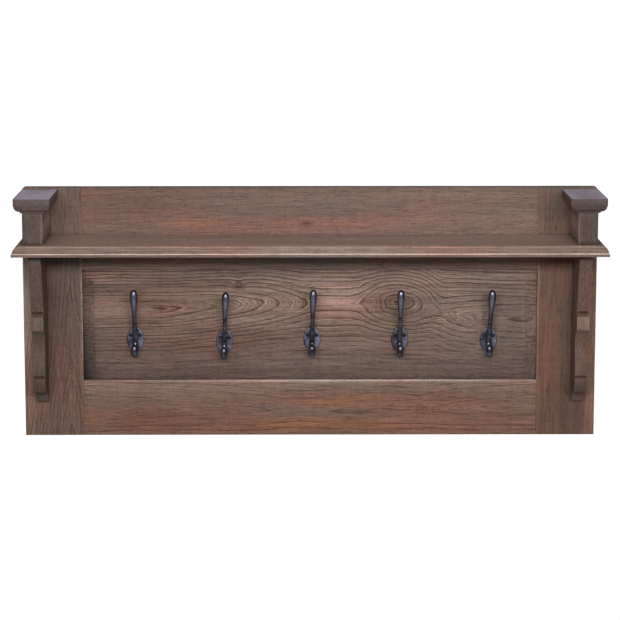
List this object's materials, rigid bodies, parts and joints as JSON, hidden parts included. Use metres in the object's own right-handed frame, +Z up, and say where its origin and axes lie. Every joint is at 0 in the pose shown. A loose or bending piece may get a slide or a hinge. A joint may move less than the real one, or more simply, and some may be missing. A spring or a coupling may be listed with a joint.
{
  "type": "wall coat rack with shelf",
  "caption": "Wall-hung frame-and-panel rack: a moulded shelf on shaped corbels, capped posts at its ends, and a row of cast hat-and-coat hooks below.",
  "frame": {"origin": "on the top rail's back face, midway between the round holes of the two keyhole hangers, 60 mm below the top edge", "axes": "+X to the right of someone facing the rack, +Y into the wall, +Z up"},
  "size_m": [1.146, 0.2, 0.5],
  "materials": {
    "frame_wood": "matte, dry, brown-grey stain on solid wood with open grain",
    "panel_wood": "matte, wire-brushed grain in relief",
    "shelf_wood": "matte, worn lighter on the moulded edges",
    "bracket_wood": "matte, dark stain, worn arrises",
    "cap_wood": "matte, greyed end and face grain",
    "peg_wood": "plain beech peg",
    "hook_iron": "black, satin, slightly lumpy casting skin",
    "hook_screw_black": "black satin",
    "screw_steel": "zinc-plated",
    "hanger_steel": "zinc-plated strip"
  },
  "bodies": {
    "root": {"stile_left": "frame_wood", "stile_right": "frame_wood", "top_rail": "frame_wood", "bottom_rail": "frame_wood", "raised_panel": "panel_wood", "shelf_board": "shelf_wood", "post_left": "bracket_wood", "post_right": "bracket_wood", "corbel_left": "bracket_wood", "corbel_right": "bracket_wood", "cap_left": "cap_wood", "cap_right": "cap_wood", "post_dowels": "peg_wood", "cap_dowels": "peg_wood", "hook_1": "hook_iron", "hook_2": "hook_iron", "hook_3": "hook_iron", "hook_4": "hook_iron", "hook_5": "hook_iron", "hook_screws": "hook_screw_black", "shelf_screws": "screw_steel", "post_screws": "screw_steel", "cap_screws": "screw_steel", "corbel_screws": "screw_steel", "corbel_top_screws": "screw_steel", "hanger_screws": "screw_steel", "hanger_plate_left": "hanger_steel", "hanger_plate_right": "hanger_steel"}
  },
  "joints": []
}
